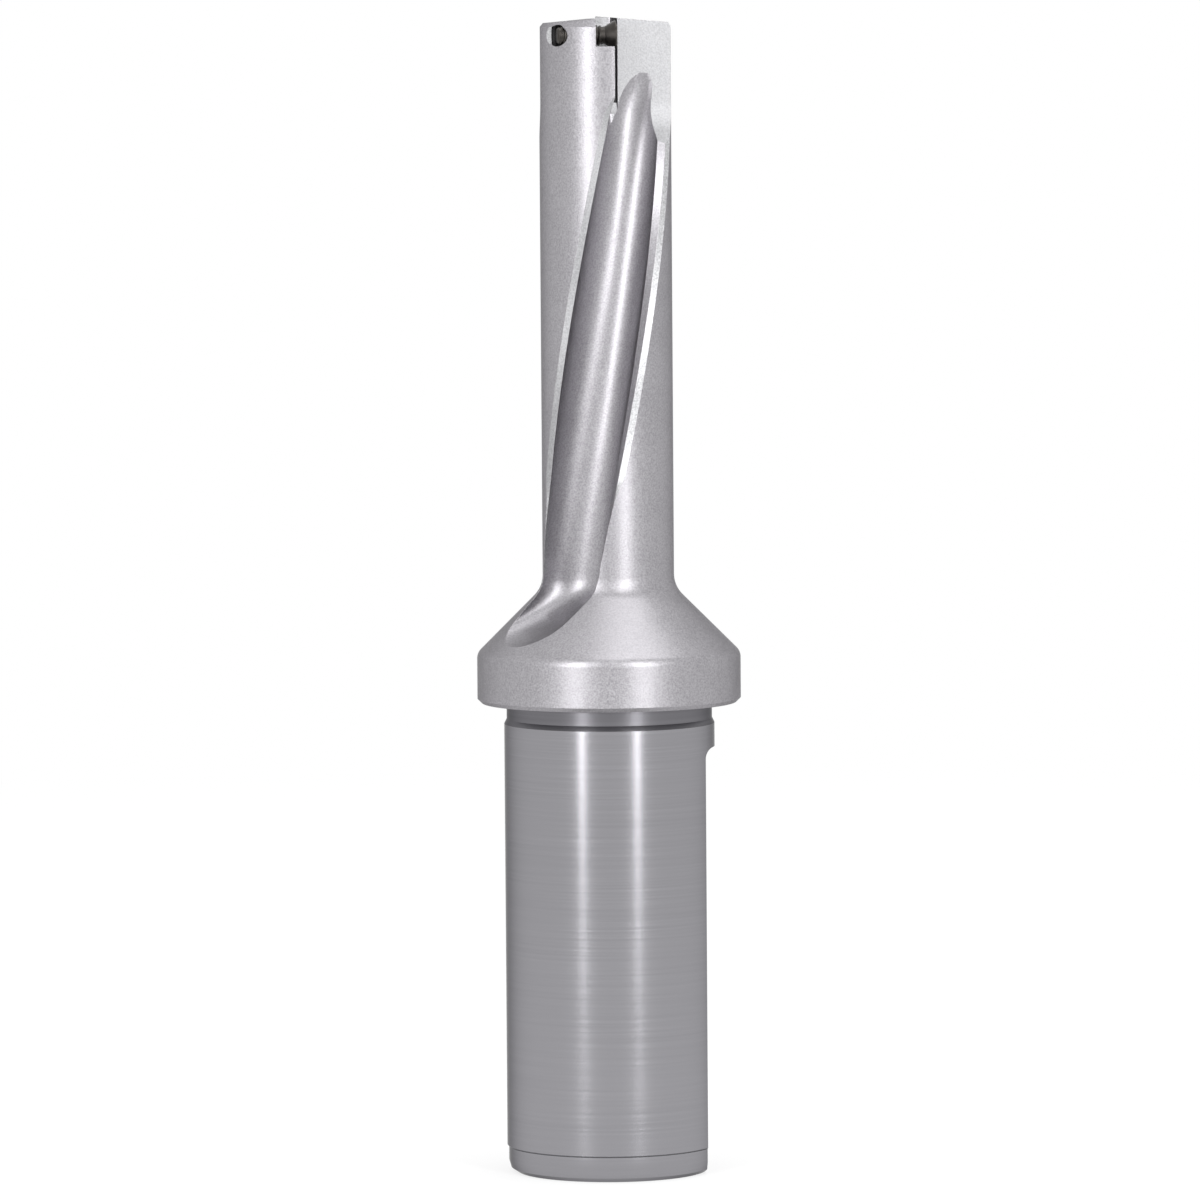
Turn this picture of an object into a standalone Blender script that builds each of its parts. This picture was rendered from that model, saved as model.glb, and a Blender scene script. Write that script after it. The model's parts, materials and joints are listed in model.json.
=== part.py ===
"""Indexable drill with a round shank, a flange collar, two helical chip flutes and
two trigon insert seats with their screws. Units are metres. The drill axis is Z with
the point up, and the origin is the centre of the shank's end. Both rake faces lie in
the plane X = 0, and the clamping flat faces +X."""

import math

import bmesh
import bpy
from mathutils import Matrix, Vector

# Shank
SHANK_RADIUS = 0.0125
SHANK_LENGTH = 0.056
SHANK_END_RELIEF = 0.0002
SHANK_END_LENGTH = 0.0032
SHANK_END_CHAMFER = 0.001
UNDERCUT_DEPTH = 0.0003
UNDERCUT_LENGTH = 0.0025
UNDERCUT_FLANK = 0.0006
FLAT_HEIGHT = 0.0105
FLAT_SETBACK = 0.0053
FLAT_CUTTER_RADIUS = 0.0012

# Flange and cone
FLANGE_RADIUS = 0.01565
FLANGE_THICKNESS = 0.0059
FLANGE_CHAMFER = 0.0005
FLANGE_EDGE_RADIUS = 0.0015
CONE_ANGLE = math.radians(45)
NECK_FILLET = 0.0035

# Fluted body
BODY_RADIUS = 0.0078
BODY_END = 0.1372
END_RELIEF = math.radians(5)
END_CHAMFER_WIDTH = 0.0009
END_CHAMFER_HEIGHT = 0.0011
END_STOCK = 0.0005

# Chip flutes
FLUTE_LEAD = 0.228
FLUTE_ANGLE_AT_END = math.radians(-40.8)
FLUTE_HALF_WEB = 0.0018
FLUTE_SHIFT = 0.00039
FLOOR_RADIUS_RIGHT = 0.00346
FLOOR_RADIUS_LEFT = 0.00476
RIGHT_LAND_ANGLE = math.radians(43.2)
LEFT_LAND_ANGLE = math.radians(41)
MARGIN_WIDTH = 0.00078
MARGIN_DROP = 0.0002
FOOT_INSET = 0.0006
FOOT_EDGE_ANGLE = math.radians(73.7)
EDGE_FADE_START = 0.0185
EDGE_FADE_LENGTH = 0.007
RUNOUT_HEIGHT = 0.0145
RUNOUT_SLOPE = math.radians(19)
RUNOUT_TURN = math.radians(-8)
RUNOUT_BEND = 0.002
RUNOUT_DROP = 0.0085
FLUTE_RISE_LENGTH = 0.0102
FLUTE_TOP_GAP = 0.0037
FLUTE_RISE_SLOPE = 0.31

# Straight gullets in front of the seats
GULLET_LENGTH = 0.0077
GULLET_RUNOUT = 0.014
GULLET_CUTTER_RADIUS = 0.02
GULLET_STEPS = 7
GULLET_CORNER = 0.0005
CHIP_SLOT_WIDTH = 0.00125
CHIP_SLOT_DEPTH = 0.0007
RAKE_WALL = 0.00004
NEAR_GULLET_DEPTH = -0.00145
FAR_GULLET_DEPTH = 0.00035

# Trigon insert seats
SEAT_INSCRIBED = 0.00284
SEAT_CORNER = 0.00086
SEAT_DEPTH = 0.00215
SEAT_LEAN = math.radians(-4)
SEAT_DROP = 0.0021
PERIPHERAL_INSET = 0.00335
CENTRAL_INSET = 0.0045

# Insert screws, M2.5 with a six-lobe recess
SCREW_RADIUS = 0.00122
SCREW_LENGTH = 0.007
SCREW_HEAD_RADIUS = 0.00172
SCREW_HEAD_HEIGHT = 0.00135
SCREW_RIM_HEIGHT = 0.00015
SCREW_END_CHAMFER = 0.00025
SCREW_RECESS_RADIUS = 0.00114
SCREW_RECESS_LOBE = 0.00016
SCREW_RECESS_DEPTH = 0.0008
SCREW_STANDOFF = 0.0006
SCREW_GAP = 0.00006
HOLE_MOUTH_WIDTH = 0.0003

# Coolant supply
SUPPLY_RADIUS = 0.004
SUPPLY_END_WALL = 0.016
SUPPLY_CHAMFER = 0.0006
SUPPLY_POINT_ANGLE = math.radians(59)
WEB_CHANNEL_RADIUS = 0.0009
OUTLET_RADIUS = 0.00075
OUTLET_LENGTH = 0.0217
OUTLET_INSET = 0.0026
NEAR_OUTLET_ANGLE = math.radians(-167)
FAR_OUTLET_ANGLE = math.radians(6)

TURNED_SEGMENTS = 96
BODY_RING_STEP = 0.0055
HOLE_SEGMENTS = 20
ARC_STEPS = 12
FLUTE_STEP = 0.002
RUNOUT_STEPS = 10
RECESS_STEPS = 36
OVERCUT = 0.004


def material(name, colour, roughness, metallic):
    made = bpy.data.materials.new(name)
    made.use_nodes = True
    shader = made.node_tree.nodes["Principled BSDF"]
    shader.inputs["Base Color"].default_value = (*colour, 1)
    shader.inputs["Roughness"].default_value = roughness
    shader.inputs["Metallic"].default_value = metallic
    return made


def clear_scene():
    for old in list(bpy.data.objects):
        bpy.data.objects.remove(old)


def finished(name, mesh, smooth_angle=math.radians(20)):
    """An object from a bmesh, with its normals outward and round faces shaded smooth."""
    bmesh.ops.recalc_face_normals(mesh, faces=mesh.faces)
    data = bpy.data.meshes.new(name)
    mesh.to_mesh(data)
    mesh.free()
    data.shade_smooth()
    data.set_sharp_from_angle(angle=smooth_angle)
    made = bpy.data.objects.new(name, data)
    bpy.context.collection.objects.link(made)
    return made


def as_cutter(made):
    made.hide_render = True
    made.display_type = "WIRE"
    return made


def loft(name, sections):
    """A closed body through sections that have the same number of points."""
    mesh = bmesh.new()
    rings = [[mesh.verts.new(point) for point in section] for section in sections]
    count = len(rings[0])
    for lower, upper in zip(rings, rings[1:]):
        for i in range(count):
            j = (i + 1) % count
            mesh.faces.new((lower[i], lower[j], upper[j], upper[i]))
    mesh.faces.new(reversed(rings[0]))
    mesh.faces.new(rings[-1])
    return finished(name, mesh)


def turned(name, profile, segments, place=None):
    """A body turned about Z from (radius, height) points, whose ends lie on the axis."""
    mesh = bmesh.new()
    rings = []
    for radius, height in profile:
        if radius == 0:
            rings.append([mesh.verts.new((0, 0, height))])
            continue
        angles = [2 * math.pi * (i + 0.4) / segments for i in range(segments)]
        rings.append(
            [mesh.verts.new((radius * math.cos(a), radius * math.sin(a), height)) for a in angles]
        )
    for lower, upper in zip(rings, rings[1:]):
        for i in range(segments):
            j = (i + 1) % segments
            if len(lower) == 1:
                mesh.faces.new((lower[0], upper[j], upper[i]))
            elif len(upper) == 1:
                mesh.faces.new((lower[i], lower[j], upper[0]))
            else:
                mesh.faces.new((lower[i], lower[j], upper[j], upper[i]))
    made = finished(name, mesh)
    if place:
        made.data.transform(place)
    return made


def cut(body, *cutters):
    for cutter in cutters:
        as_cutter(cutter)
        boolean = body.modifiers.new(cutter.name, "BOOLEAN")
        boolean.operation = "DIFFERENCE"
        boolean.solver = "EXACT"
        boolean.object = cutter


def arc(centre, radius, start, end, steps):
    """Points of a plane arc, both ends included."""
    angles = [start + (end - start) * i / steps for i in range(steps + 1)]
    return [
        (centre[0] + radius * math.cos(a), centre[1] + radius * math.sin(a)) for a in angles
    ]


def about_axis(angle):
    return Matrix.Rotation(angle, 4, "Z")


def ring_heights(low):
    """Rings along the fluted length, up to the rim chamfer, which keep its faces short."""
    high = BODY_END - END_CHAMFER_HEIGHT
    count = round((high - low) / BODY_RING_STEP)
    return [low + (high - low) * i / count for i in range(1, count + 1)]


# The blank: one turned outline from the shank's end to the point
def blank_profile():
    end_radius = SHANK_RADIUS - SHANK_END_RELIEF
    groove_radius = SHANK_RADIUS - UNDERCUT_DEPTH
    groove_low = SHANK_LENGTH - UNDERCUT_LENGTH
    flange_top = SHANK_LENGTH + FLANGE_THICKNESS
    cone_run = FLANGE_RADIUS - BODY_RADIUS
    neck_height = flange_top + cone_run / math.tan(CONE_ANGLE)
    edge_reach = FLANGE_EDGE_RADIUS * math.tan(CONE_ANGLE / 2)
    neck_reach = NECK_FILLET * math.tan(CONE_ANGLE / 2)
    edge_centre = (FLANGE_RADIUS - FLANGE_EDGE_RADIUS, flange_top - edge_reach)
    neck_centre = (BODY_RADIUS + NECK_FILLET, neck_height + neck_reach)
    stock_end = BODY_END + END_STOCK
    return [
        (0, 0),
        (end_radius - SHANK_END_CHAMFER, 0),
        (end_radius - SHANK_END_CHAMFER / 4, SHANK_END_CHAMFER / 2),
        (end_radius, SHANK_END_CHAMFER * 1.4),
        (end_radius, SHANK_END_LENGTH - SHANK_END_RELIEF),
        (SHANK_RADIUS, SHANK_END_LENGTH),
        (SHANK_RADIUS, groove_low),
        (groove_radius, groove_low + UNDERCUT_FLANK),
        (groove_radius, SHANK_LENGTH),
        (FLANGE_RADIUS - FLANGE_CHAMFER, SHANK_LENGTH),
        (FLANGE_RADIUS, SHANK_LENGTH + FLANGE_CHAMFER),
        *arc(edge_centre, FLANGE_EDGE_RADIUS, 0, CONE_ANGLE, 4),
        *arc(neck_centre, NECK_FILLET, math.pi + CONE_ANGLE, math.pi, 6),
        *((BODY_RADIUS, height) for height in ring_heights(neck_centre[1])),
        (BODY_RADIUS - END_CHAMFER_WIDTH * (1 + END_STOCK / END_CHAMFER_HEIGHT), stock_end),
        (0, stock_end),
    ]


# Chip flutes: a round cutter follows the helix and runs out through the cone
def flute_angle(height):
    return FLUTE_ANGLE_AT_END + 2 * math.pi * (height - BODY_END) / FLUTE_LEAD


def foot_outline():
    """The cutter's outline where the flute starts: a round floor between plain walls."""
    offset = BODY_RADIUS - FOOT_INSET
    radius = offset - FLUTE_HALF_WEB
    wall = radius * math.sin(FOOT_EDGE_ANGLE)
    outside = offset + BODY_RADIUS / 2
    middle = math.pi
    right_half = arc((offset, 0), radius, middle - FOOT_EDGE_ANGLE, middle, ARC_STEPS)
    left_half = arc((offset, 0), radius, middle, middle + FOOT_EDGE_ANGLE, ARC_STEPS)
    return [
        (outside, wall),
        (offset, wall),
        *right_half,
        *left_half[1:],
        (offset, -wall),
        (outside, -wall),
    ]


def main_outline():
    """The outline further up: a floor of two arcs with a narrow margin on each side."""
    right_land = BODY_RADIUS * Vector((math.cos(RIGHT_LAND_ANGLE), math.sin(RIGHT_LAND_ANGLE)))
    left_land = BODY_RADIUS * Vector((math.cos(LEFT_LAND_ANGLE), -math.sin(LEFT_LAND_ANGLE)))
    margin = Vector((-MARGIN_DROP, MARGIN_WIDTH))
    right_edge = right_land - margin
    left_edge = left_land + Vector((MARGIN_DROP, MARGIN_WIDTH))
    right_centre = (FLUTE_HALF_WEB + FLOOR_RADIUS_RIGHT, FLUTE_SHIFT)
    left_centre = (FLUTE_HALF_WEB + FLOOR_RADIUS_LEFT, FLUTE_SHIFT)
    left_reach = (FLUTE_SHIFT - left_edge.y) / FLOOR_RADIUS_LEFT
    left_span = math.asin(min(left_reach, 1))
    middle = math.pi
    right_half = arc(right_centre, FLOOR_RADIUS_RIGHT, middle / 2, middle, ARC_STEPS)
    left_half = arc(left_centre, FLOOR_RADIUS_LEFT, middle, middle + left_span, ARC_STEPS)
    right_outer = right_land + margin
    left_outer = left_land - Vector((MARGIN_DROP, MARGIN_WIDTH))
    return [
        right_outer,
        right_edge,
        *right_half,
        *left_half[1:],
        left_edge,
        left_outer,
    ]


def flute_section(height):
    """The cutter's outline in the flute's own plane, with x along its centre line."""
    share = (height - SHANK_LENGTH - EDGE_FADE_START) / EDGE_FADE_LENGTH
    share = min(max(share, 0), 1)
    points = [
        Vector(foot).lerp(Vector(main), share)
        for foot, main in zip(foot_outline(), main_outline())
    ]
    outside = BODY_RADIUS + OVERCUT
    return [Vector((outside, points[0].y)), *points, Vector((outside, points[-1].y))]


def runout_shift(drop):
    """How far outward the cutter has gone at a drop below the flute's foot: round a
    bend, and then straight down the slope."""
    run = 1 / math.tan(RUNOUT_SLOPE)
    bend_drop = run * RUNOUT_BEND
    if drop < bend_drop:
        return drop**2 / (2 * RUNOUT_BEND)
    return run * (drop - bend_drop / 2)


def flute_cutter(name, turn):
    """Leaves through the cone at its foot, follows the helix, and near the point lifts
    straight out of the gullet's floor."""
    foot = SHANK_LENGTH + RUNOUT_HEIGHT
    high = BODY_END - FLUTE_TOP_GAP
    rise_start = BODY_END - FLUTE_RISE_LENGTH
    way = flute_angle(foot) + RUNOUT_TURN
    sections = []
    for i in range(RUNOUT_STEPS, 0, -1):
        drop = RUNOUT_DROP * i / RUNOUT_STEPS
        shift = runout_shift(drop) * Vector((math.cos(way), math.sin(way), 0))
        twist = about_axis(flute_angle(foot))
        points = [twist @ Vector((p.x, p.y, foot - drop)) for p in flute_section(foot)]
        sections.append([about_axis(turn) @ (point + shift) for point in points])
    steps = math.ceil((high - foot) / FLUTE_STEP)
    for i in range(steps + 1):
        height = foot + (high - foot) * i / steps
        rise = max(height - rise_start, 0) * FLUTE_RISE_SLOPE
        twist = about_axis(flute_angle(height))
        points = [twist @ Vector((p.x, p.y, height)) for p in flute_section(height)]
        sections.append([about_axis(turn) @ Vector((x, y - rise, z)) for x, y, z in points])
    return loft(name, sections)


def gullet_cutter(name, depth, width, turn):
    """Clears the chip space in front of a seat: the rake wall lies on X = 0. Its floor
    runs out in the arc that a side cutter leaves."""
    far = BODY_RADIUS + OVERCUT
    low = BODY_END - GULLET_LENGTH
    sections = []
    for i in range(GULLET_STEPS, -1, -1):
        below = GULLET_RUNOUT * i / GULLET_STEPS
        lift = GULLET_CUTTER_RADIUS - math.sqrt(GULLET_CUTTER_RADIUS**2 - below**2)
        sections.append((low - below, depth - lift))
    sections.append((BODY_END + OVERCUT, depth))

    def outline(height, floor):
        corner = (RAKE_WALL + GULLET_CORNER, floor - GULLET_CORNER)
        side = RAKE_WALL + width
        points = [(RAKE_WALL, -far), (side, -far), (side, floor)]
        points += arc(corner, GULLET_CORNER, math.pi / 2, math.pi, 4)
        return [about_axis(turn) @ Vector((x, y, height)) for x, y in points]

    return loft(name, [outline(height, floor) for height, floor in sections])


def end_relief_cutter():
    """A roof whose ridge lies along both rake faces, so each end face falls away behind."""
    far = BODY_RADIUS + OVERCUT
    low = BODY_END - far * math.tan(END_RELIEF)
    high = BODY_END + OVERCUT
    outline = [(-far, low), (0, BODY_END), (far, low), (far, high), (-far, high)]
    return loft("end_relief", [[Vector((x, y, z)) for x, z in outline] for y in (far, -far)])


def flat_cutter():
    """The side cutter of the clamping flat, with its corner radius at the upper end."""
    far = SHANK_RADIUS + OVERCUT
    top = SHANK_LENGTH - FLAT_SETBACK
    corner = (FLAT_HEIGHT + FLAT_CUTTER_RADIUS, top - FLAT_CUTTER_RADIUS)
    outline = [(far, top), (far, -OVERCUT), (FLAT_HEIGHT, -OVERCUT)]
    outline += arc(corner, FLAT_CUTTER_RADIUS, math.pi, math.pi / 2, 6)
    return loft("flat", [[Vector((x, y, z)) for x, z in outline] for y in (-far, far)])


# Insert seats
def trigon(inscribed, corner, steps=4):
    """Three 80 degree corners joined by sides that are bent by 20 degrees, leaned so
    that the seat's outer shoulder lies level with the edge it carries."""
    outline = []
    reach = (inscribed - corner) / math.sin(math.radians(40))
    bend = inscribed / math.cos(math.radians(10))
    for i in range(3):
        axis = math.radians(30 + 120 * i)
        centre = (reach * math.cos(axis), reach * math.sin(axis))
        spread = math.radians(50)
        outline += arc(centre, corner, axis - spread, axis + spread, steps)
        middle = axis + math.radians(60)
        outline.append((bend * math.cos(middle), bend * math.sin(middle)))
    cosine, sine = math.cos(SEAT_LEAN), math.sin(SEAT_LEAN)
    return [(cosine * x - sine * y, sine * x + cosine * y) for x, y in outline]


def seat_frame(reach, turn):
    """The seat's frame: X towards the axis, Y to the point, Z out of the rake face."""
    place = Matrix(
        (
            (0, 0, 1, 0),
            (1, 0, 0, -reach),
            (0, 1, 0, BODY_END - SEAT_DROP),
            (0, 0, 0, 1),
        )
    )
    return about_axis(turn) @ place


def pocket_cutter(name, reach, turn, open_side):
    """The insert's outline, opened to the point and, in the outer seat, to the side."""
    outline = trigon(SEAT_INSCRIBED, SEAT_CORNER)
    right = max(outline, key=lambda point: point[0])
    left = min(outline, key=lambda point: point[0])
    shoulders = [p for p in outline if p[0] < -SEAT_INSCRIBED / 2 and p[1] < 0]
    low_bend = min(shoulders, key=lambda point: math.hypot(*point))
    side = low_bend if open_side else left
    start = outline.index(side)
    ahead = outline[start:] + outline[:start]
    lower = ahead[: ahead.index(right) + 1]
    top = SEAT_DROP + OVERCUT
    if open_side:
        upper = [(right[0], top), (-BODY_RADIUS, top), (-BODY_RADIUS, side[1])]
    else:
        upper = [(right[0], top), (left[0], top)]
    heights = (-SEAT_DEPTH, SEAT_CORNER)
    made = loft(name, [[Vector((x, y, z)) for x, y in (*lower, *upper)] for z in heights])
    made.data.transform(seat_frame(reach, turn))
    return made


def screw_hole(name, reach, turn):
    """The tapped hole behind a seat, drilled through to a countersunk mouth outside."""
    radius = SCREW_RADIUS + SCREW_GAP
    exit_depth = math.sqrt(BODY_RADIUS**2 - (reach - radius) ** 2)
    mouth = HOLE_MOUTH_WIDTH
    profile = [
        (0, -exit_depth - OVERCUT),
        (radius + mouth + OVERCUT, -exit_depth - OVERCUT),
        (radius, mouth - exit_depth),
        (radius, -SEAT_DEPTH / 2),
        (0, -SEAT_DEPTH / 2),
    ]
    return turned(name, profile, HOLE_SEGMENTS, seat_frame(reach, turn))


def screw_body(name, reach, turn):
    low = SCREW_STANDOFF - SCREW_LENGTH
    profile = [
        (0, low),
        (SCREW_RADIUS - SCREW_END_CHAMFER, low),
        (SCREW_RADIUS, low + SCREW_END_CHAMFER),
        (SCREW_RADIUS, SCREW_STANDOFF - SCREW_HEAD_HEIGHT),
        (SCREW_HEAD_RADIUS, SCREW_STANDOFF - SCREW_RIM_HEIGHT),
        (SCREW_HEAD_RADIUS, SCREW_STANDOFF),
        (0, SCREW_STANDOFF),
    ]
    return turned(name, profile, HOLE_SEGMENTS, seat_frame(reach, turn))


def recess_cutter(name, reach, turn):
    """Six lobes round the screw's axis."""
    points = []
    for i in range(RECESS_STEPS):
        angle = 2 * math.pi * i / RECESS_STEPS
        radius = SCREW_RECESS_RADIUS - SCREW_RECESS_LOBE * (1 - math.cos(6 * angle))
        points.append((radius * math.cos(angle), radius * math.sin(angle)))
    heights = (SCREW_STANDOFF - SCREW_RECESS_DEPTH, SCREW_STANDOFF + OVERCUT)
    made = loft(name, [[Vector((x, y, z)) for x, y in points] for z in heights])
    made.data.transform(seat_frame(reach, turn))
    return made


# Coolant supply: a bore in the shank, a channel in the web and an outlet on each lobe
def supply_cutter():
    depth = SHANK_LENGTH - SUPPLY_END_WALL
    point = SUPPLY_RADIUS / math.tan(SUPPLY_POINT_ANGLE)
    throat = WEB_CHANNEL_RADIUS / math.tan(SUPPLY_POINT_ANGLE)
    profile = [
        (0, -OVERCUT),
        (SUPPLY_RADIUS + SUPPLY_CHAMFER + OVERCUT, -OVERCUT),
        (SUPPLY_RADIUS, SUPPLY_CHAMFER),
        (SUPPLY_RADIUS, depth),
        (WEB_CHANNEL_RADIUS, depth + point - throat),
        (WEB_CHANNEL_RADIUS, BODY_END - OUTLET_LENGTH),
        (0, BODY_END - OUTLET_LENGTH + throat),
    ]
    return turned("supply", profile, HOLE_SEGMENTS * 2)


def outlet_cutter(name, angle):
    start = Vector((0, 0, BODY_END - OUTLET_LENGTH - OUTLET_RADIUS))
    reach = BODY_RADIUS - OUTLET_INSET
    end = Vector((reach * math.cos(angle), reach * math.sin(angle), BODY_END))
    along = end - start
    length = along.length + OVERCUT
    profile = [(0, 0), (OUTLET_RADIUS, 0), (OUTLET_RADIUS, length), (0, length)]
    lay = Matrix.Translation(start) @ along.to_track_quat("Z", "Y").to_matrix().to_4x4()
    return turned(name, profile, HOLE_SEGMENTS, lay)


def main():
    clear_scene()
    steel = material("blasted_steel", (0.50, 0.49, 0.50), 0.42, 1)
    screw_steel = material("blackened_screw_steel", (0.03, 0.03, 0.03), 0.35, 0.9)

    seats = {
        "peripheral": (BODY_RADIUS - PERIPHERAL_INSET, 0, True),
        "central": (BODY_RADIUS - CENTRAL_INSET, math.pi, False),
    }
    body = turned("drill_body", blank_profile(), TURNED_SEGMENTS)
    body.data.materials.append(steel)
    cut(body, end_relief_cutter(), flat_cutter())
    full_width = BODY_RADIUS + OVERCUT
    for side, turn, depth in (
        ("near", 0, NEAR_GULLET_DEPTH),
        ("far", math.pi, FAR_GULLET_DEPTH),
    ):
        cut(body, flute_cutter(f"{side}_flute", turn))
        cut(body, gullet_cutter(f"{side}_gullet", depth, full_width, turn))
    slot_depth = NEAR_GULLET_DEPTH + CHIP_SLOT_DEPTH
    cut(body, gullet_cutter("near_chip_slot", slot_depth, CHIP_SLOT_WIDTH, 0))
    cut(body, supply_cutter())
    cut(body, outlet_cutter("near_outlet", NEAR_OUTLET_ANGLE))
    cut(body, outlet_cutter("far_outlet", FAR_OUTLET_ANGLE))
    for side, (reach, turn, open_side) in seats.items():
        cut(body, pocket_cutter(f"{side}_pocket", reach, turn, open_side))
        cut(body, screw_hole(f"{side}_thread", reach, turn))

        screw = screw_body(f"{side}_insert_screw", reach, turn)
        screw.data.materials.append(screw_steel)
        cut(screw, recess_cutter(f"{side}_screw_recess", reach, turn))


main()
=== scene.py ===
"""The looks of an indexable drill that stands on its shank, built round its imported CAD
part. Units are metres, with Z up along the drill axis."""

import json
import math

import bmesh
import bpy
from mathutils import Matrix, Vector

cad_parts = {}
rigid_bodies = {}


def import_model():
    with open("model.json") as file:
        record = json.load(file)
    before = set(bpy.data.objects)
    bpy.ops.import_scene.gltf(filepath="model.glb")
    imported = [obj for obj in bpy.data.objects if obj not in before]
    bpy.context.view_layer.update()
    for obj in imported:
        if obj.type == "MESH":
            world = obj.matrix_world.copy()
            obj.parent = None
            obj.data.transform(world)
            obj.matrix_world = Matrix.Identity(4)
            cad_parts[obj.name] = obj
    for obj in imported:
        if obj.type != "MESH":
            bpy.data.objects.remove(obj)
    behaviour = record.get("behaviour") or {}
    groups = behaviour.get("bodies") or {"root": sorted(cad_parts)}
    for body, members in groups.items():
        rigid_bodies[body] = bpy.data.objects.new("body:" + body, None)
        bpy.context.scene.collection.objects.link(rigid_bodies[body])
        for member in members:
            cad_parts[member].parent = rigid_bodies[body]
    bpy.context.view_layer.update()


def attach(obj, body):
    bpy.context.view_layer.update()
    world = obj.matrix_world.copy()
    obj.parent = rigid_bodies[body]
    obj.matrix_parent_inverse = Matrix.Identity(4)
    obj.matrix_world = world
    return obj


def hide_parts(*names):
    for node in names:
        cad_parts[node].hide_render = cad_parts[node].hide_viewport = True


for old in list(bpy.data.objects):
    bpy.data.objects.remove(old)

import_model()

# The drill body is one piece of tool steel: turned from bar, with two helical flutes
# and two insert pockets milled into it, and the shank ground to fit its holder. All but
# the shank is blasted with fine beads and plated, which leaves an even satin grey.
SHANK_RADIUS = 0.0125
SHANK_LENGTH = 0.056
SHANK_END_RELIEF = 0.0002
SHANK_END_LENGTH = 0.0032
SHANK_END_CHAMFER = 0.001
SHANK_END_ROUNDING = 0.0014
SHANK_END_EDGE = 0.00025
UNDERCUT_DEPTH = 0.0003
UNDERCUT_LENGTH = 0.0025
UNDERCUT_FLANK = 0.0006
FLAT_HEIGHT = 0.0105
FLAT_SETBACK = 0.0053
FLAT_CUTTER_RADIUS = 0.0012
FLANGE_RADIUS = 0.01565
FLANGE_THICKNESS = 0.0059
FLANGE_CHAMFER = 0.0005
FLANGE_EDGE_RADIUS = 0.0015
CONE_ANGLE = math.radians(45)
NECK_FILLET = 0.0035
BODY_RADIUS = 0.0078
BODY_END = 0.1372
END_RELIEF = math.radians(5)
END_CHAMFER_WIDTH = 0.0009
END_CHAMFER_HEIGHT = 0.0011
END_STOCK = 0.0005
FLUTE_LEAD = 0.228
FLUTE_ANGLE_AT_END = math.radians(-40.8)
FLUTE_HALF_WEB = 0.0018
FLUTE_SHIFT = 0.00039
FLOOR_RADIUS_RIGHT = 0.00346
FLOOR_RADIUS_LEFT = 0.00476
RIGHT_LAND_ANGLE = math.radians(43.2)
LEFT_LAND_ANGLE = math.radians(41)
MARGIN_WIDTH = 0.00078
MARGIN_DROP = 0.0002
FOOT_HALF_WIDTH = 0.0048
FOOT_WALL = 0.0001
EDGE_FADE_START = 0.0155
EDGE_FADE_LENGTH = 0.0115
RUNOUT_HEIGHT = 0.0145
RUNOUT_SLOPE = math.radians(19)
RUNOUT_TURN = math.radians(-8)
RUNOUT_BEND = 0.002
RUNOUT_DROP = 0.0085
FLUTE_RISE_LENGTH = 0.0122
FLUTE_TOP_GAP = 0.0037
FLUTE_RISE_RADIUS = 0.0127
FLUTE_RISE_WAY = math.radians(-52)
GULLET_LENGTH = 0.0098
GULLET_RUNOUT = 0.0079
GULLET_CUTTER_RADIUS = 0.008
GULLET_CORNER = 0.0005
CHIP_SLOT_WIDTH = 0.00125
CHIP_SLOT_DEPTH = 0.0007
CHIP_SLOT_LENGTH = 0.0078
RAKE_WALL = 0.00004
NEAR_GULLET_DEPTH = -0.00145
FAR_GULLET_DEPTH = 0.00035
SEAT_INSCRIBED = 0.00284
SEAT_CORNER = 0.00086
SEAT_DEPTH = 0.00215
SEAT_LEAN = math.radians(-4)
SEAT_DROP = 0.0021
PERIPHERAL_INSET = 0.00335
CENTRAL_INSET = 0.0045
SCREW_RADIUS = 0.00122
SCREW_GAP = 0.00006
HOLE_MOUTH_WIDTH = 0.0003
SUPPLY_RADIUS = 0.004
SUPPLY_END_WALL = 0.016
SUPPLY_CHAMFER = 0.0006
SUPPLY_POINT_ANGLE = math.radians(59)
WEB_CHANNEL_RADIUS = 0.0009
OUTLET_RADIUS = 0.00075
OUTLET_LENGTH = 0.0217
OUTLET_INSET = 0.0026
NEAR_OUTLET_ANGLE = math.radians(-167)
FAR_OUTLET_ANGLE = math.radians(6)
SEATS = {
    "peripheral": (BODY_RADIUS - PERIPHERAL_INSET, 0),
    "central": (BODY_RADIUS - CENTRAL_INSET, math.pi),
}
TURNED_SEGMENTS = 180
RUNOUT_STEPS = 34
GULLET_FINE_STEPS = 24
HOLE_SEGMENTS = 48
RING_STEP = 0.0028
FLUTE_STEP = 0.001
ARC_STEPS = 36
FILLET_STEPS = 12
CORNER_STEPS = 4
SEAM_TURN = 0.4
OVERCUT = 0.004


def about_axis(angle):
    return Matrix.Rotation(angle, 4, "Z")


def arc(centre, radius, start, end, steps):
    """Points of a plane arc, both ends included."""
    angles = [start + (end - start) * i / steps for i in range(steps + 1)]
    return [
        (centre[0] + radius * math.cos(a), centre[1] + radius * math.sin(a)) for a in angles
    ]


def solid(name, shape):
    """An object from a bmesh, with its faces outward."""
    bmesh.ops.recalc_face_normals(shape, faces=shape.faces)
    mesh = bpy.data.meshes.new(name)
    shape.to_mesh(mesh)
    shape.free()
    made = bpy.data.objects.new(name, mesh)
    bpy.context.collection.objects.link(made)
    return made


def loft(name, sections):
    """A closed solid through sections that have the same number of points."""
    shape = bmesh.new()
    rings = [[shape.verts.new(point) for point in section] for section in sections]
    count = len(rings[0])
    for lower, upper in zip(rings, rings[1:]):
        for i in range(count):
            j = (i + 1) % count
            shape.faces.new((lower[i], lower[j], upper[j], upper[i]))
    shape.faces.new(reversed(rings[0]))
    shape.faces.new(rings[-1])
    return solid(name, shape)


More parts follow.
